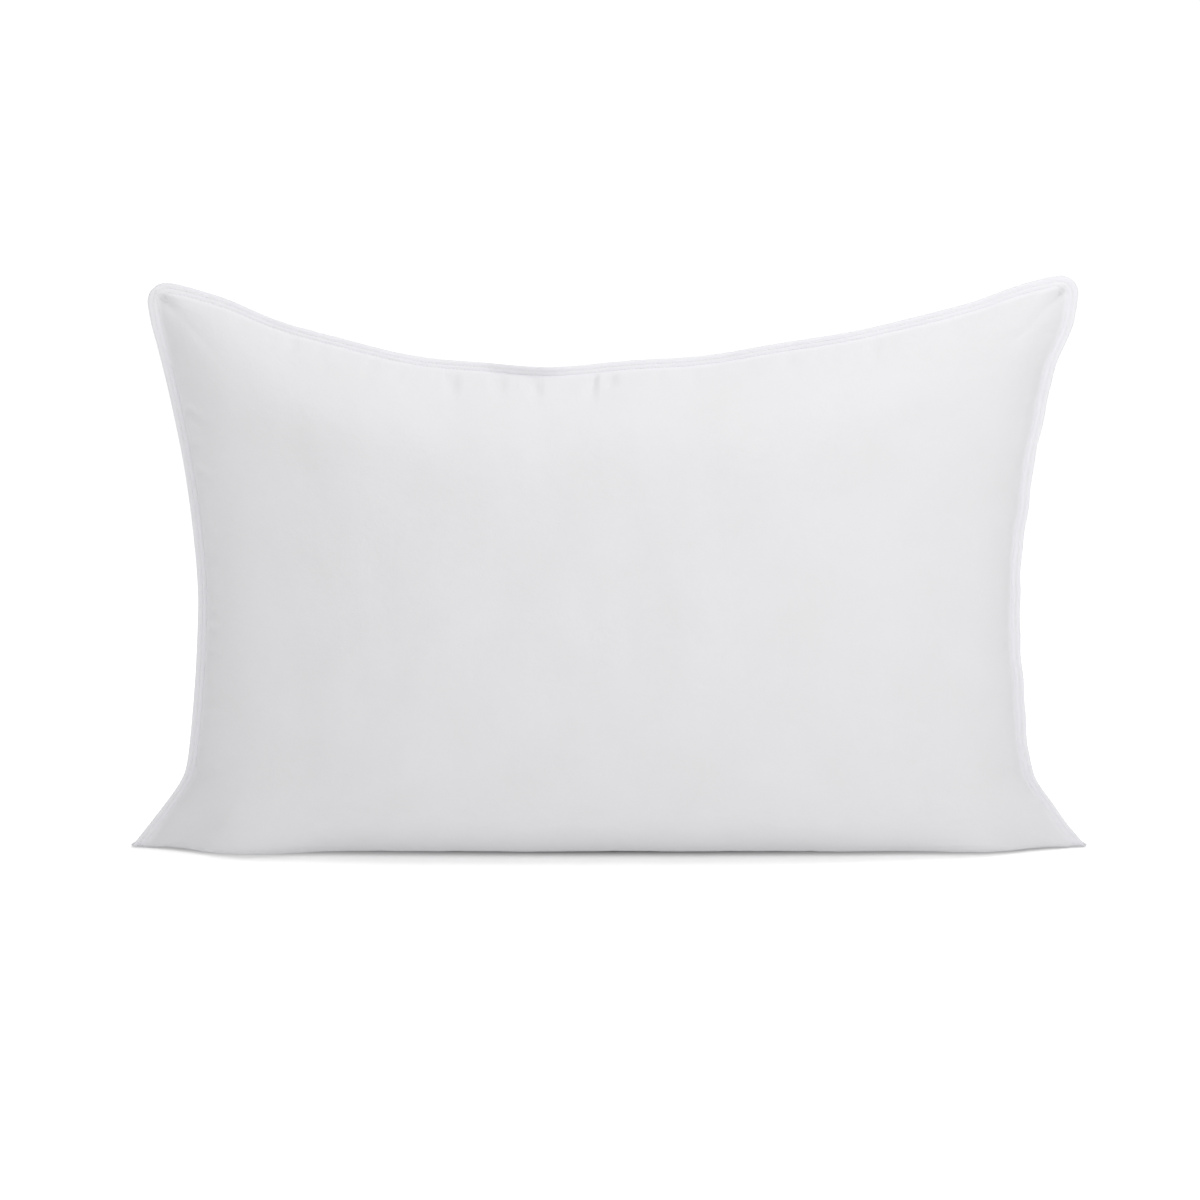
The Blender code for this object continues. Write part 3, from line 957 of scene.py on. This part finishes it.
def label_satin():
    """Smooth polyester satin ribbon, with fine floats running down it."""
    material, tree, shader = new_material(
        "label_satin", Base_Color=SATIN, Roughness=0.38, Sheen_Weight=0.2)
    place = add_node(tree, "UVMap")
    place.uv_map = "cut"
    yarn = add_node(tree, "Mapping", Scale=(12.0, 1.0, 1.0))
    tree.links.new(place.outputs["UV"], yarn.inputs["Vector"])
    floats = add_node(tree, "TexNoise", Scale=320.0, Detail=3.0)
    tree.links.new(yarn.outputs["Vector"], floats.inputs["Vector"])
    bump = add_node(tree, "Bump", Strength=0.35, Distance=0.0002)
    tree.links.new(floats.outputs["Fac"], bump.inputs["Height"])
    tree.links.new(bump.outputs["Normal"], shader.inputs["Normal"])
    return material


label = make_label()
label.data.materials.append(label_satin())
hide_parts("care_label")
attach(label, "label")


# ---------------------------------------------------------------------------------------------
# The studio: a plain white floor and backdrop, soft light from above and the right, and the
# camera looking straight at the front from slightly above. The floor glows a little, except
# under the pillow, where the light doesn't reach.

PAPER = (0.80, 0.80, 0.80, 1.0)
WHITE = (1.0, 1.0, 1.0, 1.0)

bpy.ops.object.select_all(action="DESELECT")
bpy.ops.mesh.primitive_plane_add(size=60.0, location=(0.0, 0.0, 0.0))
floor = bpy.context.object
floor.name = "studio_floor"
paper, tree, shader = new_material("white_floor", Base_Color=PAPER, Roughness=0.9, Emission_Color=WHITE)
place = add_node(tree, "TexCoord")
reach = add_node(tree, "VectorMath")
reach.operation = "LENGTH"
glow = add_node(tree, "MapRange", From_Min=0.30, From_Max=1.10, To_Min=0.31, To_Max=0.45)
squeeze = add_node(tree, "Mapping", Scale=(0.09, 1.0, 1.0))
beside = add_node(tree, "VectorMath")
beside.operation = "LENGTH"
uncovered = add_node(tree, "MapRange", From_Min=0.014, From_Max=0.042, To_Min=0.10, To_Max=1.0)
lit = add_node(tree, "Math")
lit.operation = "MULTIPLY"
tree.links.new(place.outputs["Object"], reach.inputs[0])
tree.links.new(reach.outputs["Value"], glow.inputs["Value"])
tree.links.new(place.outputs["Object"], squeeze.inputs["Vector"])
tree.links.new(squeeze.outputs["Vector"], beside.inputs[0])
tree.links.new(beside.outputs["Value"], uncovered.inputs["Value"])
tree.links.new(glow.outputs["Result"], lit.inputs[0])
tree.links.new(uncovered.outputs["Result"], lit.inputs[1])
tree.links.new(lit.outputs["Value"], shader.inputs["Emission Strength"])
floor.data.materials.append(paper)

world = bpy.data.worlds.new("studio_light")
bpy.context.scene.world = world
world.use_nodes = True
tree = world.node_tree
backdrop = tree.nodes["Background"]
backdrop.inputs["Color"].default_value = WHITE
heading = add_node(tree, "TexCoord")
parts = add_node(tree, "SeparateXYZ")
front_to_back = add_node(tree, "MapRange", From_Min=-0.4, From_Max=0.98, To_Min=0.74, To_Max=1.12)
from_left = add_node(tree, "Math")
from_left.operation = "ADD"
from_left.inputs[1].default_value = 0.17
sideways = add_node(tree, "Math")
sideways.operation = "ABSOLUTE"
dimmer = add_node(tree, "Math")
dimmer.operation = "MULTIPLY_ADD"
dimmer.inputs[1].default_value = -0.32
tree.links.new(heading.outputs["Generated"], parts.inputs["Vector"])
tree.links.new(parts.outputs["Y"], front_to_back.inputs["Value"])
tree.links.new(parts.outputs["X"], from_left.inputs[0])
tree.links.new(from_left.outputs["Value"], sideways.inputs[0])
tree.links.new(sideways.outputs["Value"], dimmer.inputs[0])
tree.links.new(front_to_back.outputs["Result"], dimmer.inputs[2])
tree.links.new(dimmer.outputs["Value"], backdrop.inputs["Strength"])


def add_softbox(name, place, target, size, power):
    """A large square light at one place, aimed at another."""
    bpy.ops.object.light_add(type="AREA", location=place)
    lamp = bpy.context.object
    lamp.name = name
    lamp.data.size = size
    lamp.data.energy = power
    lamp.rotation_euler = (Vector(target) - Vector(place)).to_track_quat("-Z", "Y").to_euler()
    return lamp


add_softbox("key_light", (0.42, -1.00, 0.75), (0.0, 0.0, 0.2), 0.7, 3.6)
add_softbox("top_light", (0.3, -0.1, 2.2), (0.0, 0.0, 0.2), 1.8, 20.0)

LENS = 100.0
SENSOR = 36.0
FRAME_WIDTH = 0.936
ELEVATION = radians(6.0)
aim = Vector((-0.007, 0.0, 0.196))
distance = LENS / SENSOR * FRAME_WIDTH
bpy.ops.object.camera_add(location=aim + distance * Vector((0.0, -cos(ELEVATION), sin(ELEVATION))))
camera = bpy.context.object
camera.name = "studio_camera"
camera.data.lens = LENS
camera.data.sensor_width = SENSOR
camera.rotation_euler = (radians(90.0) - ELEVATION, 0.0, 0.0)
bpy.context.scene.camera = camera
bpy.context.scene.view_settings.view_transform = "Standard"
